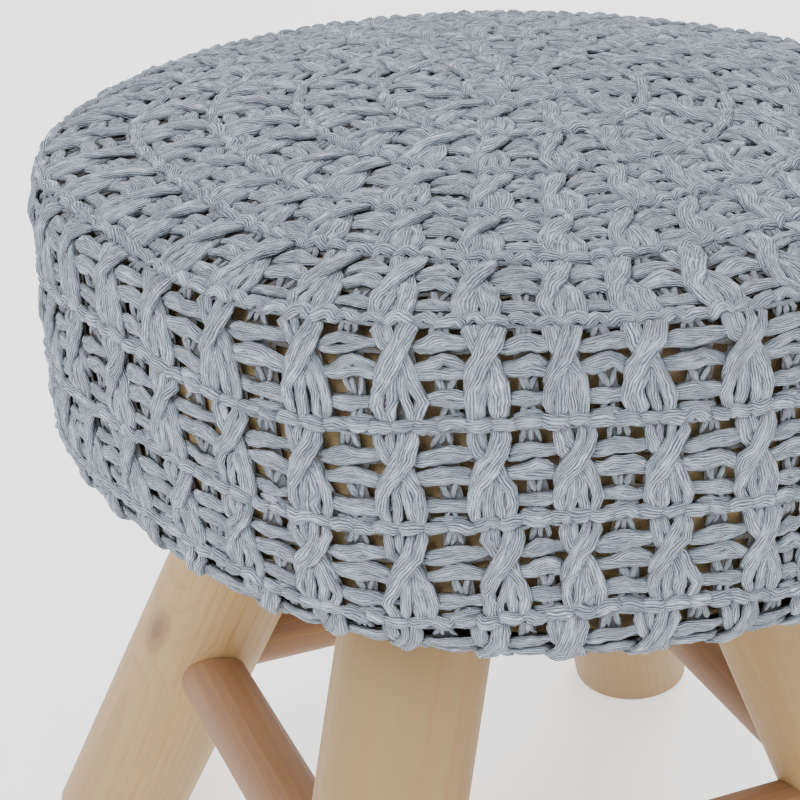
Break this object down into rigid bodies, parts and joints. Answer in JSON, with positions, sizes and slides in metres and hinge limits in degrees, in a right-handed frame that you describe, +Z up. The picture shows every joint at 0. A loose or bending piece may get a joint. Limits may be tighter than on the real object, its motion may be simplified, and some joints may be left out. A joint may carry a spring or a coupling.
{
  "type": "round upholstered footstool with a knitted cover",
  "caption": "Round footstool: a filled pad under a chunky open knitted cotton cover, on splayed round pine legs joined by rails.",
  "frame": {"origin": "on the floor, under the centre of the seat", "axes": "+Z is up along the seat's axis; -Y is the side that faces the viewer; +X is to the viewer's right"},
  "size_m": [0.4334, 0.4334, 0.38],
  "materials": {
    "yarn": "loosely spun matt cotton, light blue-grey",
    "casing": "matt tan cloth",
    "pine": "sanded pine with knots, clear matt finish",
    "rail_wood": "sanded reddish pine, clear matt finish"
  },
  "bodies": {
    "root": {"knit_cover": "yarn", "seat_pad": "casing", "seat_board": "pine", "leg_1": "pine", "leg_2": "pine", "leg_3": "pine", "leg_4": "pine", "rail_1": "rail_wood", "rail_2": "rail_wood", "rail_3": "rail_wood", "rail_4": "rail_wood"}
  },
  "joints": []
}
